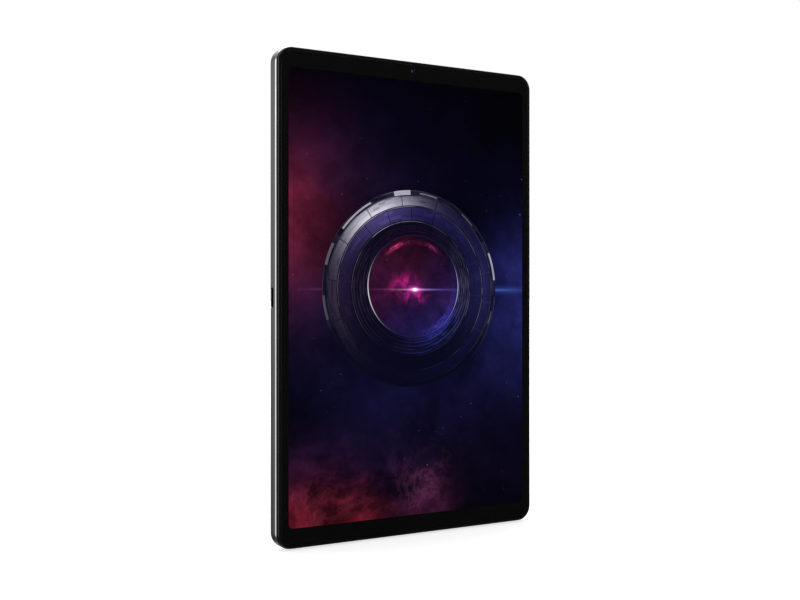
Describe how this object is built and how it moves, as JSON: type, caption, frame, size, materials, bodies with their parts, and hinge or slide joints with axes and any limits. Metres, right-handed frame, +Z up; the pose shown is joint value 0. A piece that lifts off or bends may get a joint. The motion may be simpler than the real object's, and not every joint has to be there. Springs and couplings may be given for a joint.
{
  "type": "tablet computer",
  "caption": "Slim upright tablet computer: black-bordered display in a dark aluminium shell, with side keys, camera island, card tray and charging sockets.",
  "frame": {"origin": "bottom centre of the whole object as it stands upright, in the middle of its width and of its depth over the camera island", "axes": "+X to the right seen from the display side, +Y backwards (the display faces -Y), +Z up along the long side"},
  "size_m": [0.1299, 0.0088, 0.2085],
  "materials": {
    "anodised_shell": "fine bead-blasted dark grey anodising, bright diamond-cut chamfer round the mouth",
    "anodised_keys": "dark grey anodising, satin",
    "black_rim": "moulded black, fine satin",
    "cover_glass": "polished, black printed border",
    "adhesive": "soft black foam tape",
    "picture": "lit display with a dark violet space picture",
    "backlight": "white diffusing sheets",
    "flex_cable": "amber polyimide film",
    "black_moulding": "moulded black, matt",
    "lens_glass": "polished, coated",
    "lens_barrel": "black barrel with violet-coated lens",
    "flash_diffuser": "frosted pale yellow",
    "chip": "moulded black package",
    "steel": "stamped, satin",
    "circuit_board": "dark green solder mask",
    "copper": "bare copper, satin",
    "battery_wrap": "black film wrap",
    "tungsten": "sintered heavy metal, matt"
  },
  "bodies": {
    "casing": {"rear_shell": "anodised_shell", "middle_frame": "black_rim", "cover_glass": "cover_glass", "glass_adhesive": "adhesive", "lcd_panel": "picture", "backlight_unit": "backlight", "display_flex": "flex_cable", "display_connector": "black_moulding", "camera_island": "anodised_shell", "main_lens_window": "lens_glass", "macro_lens_window": "lens_glass", "flash_window": "flash_diffuser", "flash_led": "flash_diffuser", "main_camera": "black_moulding", "macro_camera": "black_moulding", "front_camera": "lens_barrel", "ambient_light_sensor": "chip", "power_switch": "steel", "volume_up_switch": "steel", "volume_down_switch": "steel", "side_key_flex": "flex_cable", "key_bracket": "steel", "card_socket": "steel", "lever_pin": "steel", "mainboard": "circuit_board", "processor": "chip", "memory_chip": "chip", "processor_shield": "steel", "power_shield": "steel", "vapour_chamber": "copper", "battery_left": "battery_wrap", "battery_right": "battery_wrap", "battery_board": "circuit_board", "side_usb_port": "steel", "bottom_usb_port": "steel", "bottom_board": "circuit_board", "main_flex": "flex_cable", "side_port_flex": "flex_cable", "speaker_upper": "black_moulding", "speaker_lower": "black_moulding", "microphone_upper": "steel", "microphone_lower": "steel", "haptic_case_upper": "steel", "haptic_case_lower": "steel", "antenna_upper": "copper", "antenna_lower": "copper", "mainboard_screw_1": "steel", "mainboard_screw_2": "steel", "mainboard_screw_3": "steel", "mainboard_screw_4": "steel", "bottom_board_screw_1": "steel", "bottom_board_screw_2": "steel"},
    "power_button": {"power_button": "anodised_keys"},
    "volume_rocker": {"volume_rocker": "anodised_keys"},
    "card_tray": {"card_tray": "anodised_keys"},
    "eject_rod": {"eject_rod": "steel"},
    "eject_lever": {"eject_lever": "steel"},
    "main_camera_lens": {"main_camera_lens": "lens_barrel"},
    "haptic_mass_upper": {"haptic_mass_upper": "tungsten"},
    "haptic_mass_lower": {"haptic_mass_lower": "tungsten"}
  },
  "joints": [
    {"name": "power_press", "type": "slide", "parent": "casing", "child": "power_button", "axis": [-1, 0, 0], "range_m": [0, 0.00025]},
    {"name": "volume_rock", "type": "hinge", "parent": "casing", "child": "volume_rocker", "pos_m": [0.0627, 0.001, 0.172], "axis": [0, 1, 0], "range_deg": [-1.2, 1.2]},
    {"name": "tray_slide", "type": "slide", "parent": "casing", "child": "card_tray", "axis": [1, 0, 0], "range_m": [0, 0.016]},
    {"name": "eject_push", "type": "slide", "parent": "casing", "child": "eject_rod", "axis": [-1, 0, 0], "range_m": [0, 0.0009]},
    {"name": "eject_swing", "type": "hinge", "parent": "casing", "child": "eject_lever", "pos_m": [0.0455, 0.001, 0.0272], "axis": [0, 1, 0], "range_deg": [0, 12]},
    {"name": "lens_focus", "type": "slide", "parent": "casing", "child": "main_camera_lens", "axis": [0, 1, 0], "range_m": [0, 0.00025]},
    {"name": "haptic_upper_shake", "type": "slide", "parent": "casing", "child": "haptic_mass_upper", "axis": [0, 0, 1], "range_m": [-0.0003, 0.0003]},
    {"name": "haptic_lower_shake", "type": "slide", "parent": "casing", "child": "haptic_mass_lower", "axis": [0, 0, 1], "range_m": [-0.0003, 0.0003]}
  ],
  "couplings": [
    {"joint": "eject_swing", "follows": "eject_push", "rad_per_m": 227.27}
  ]
}
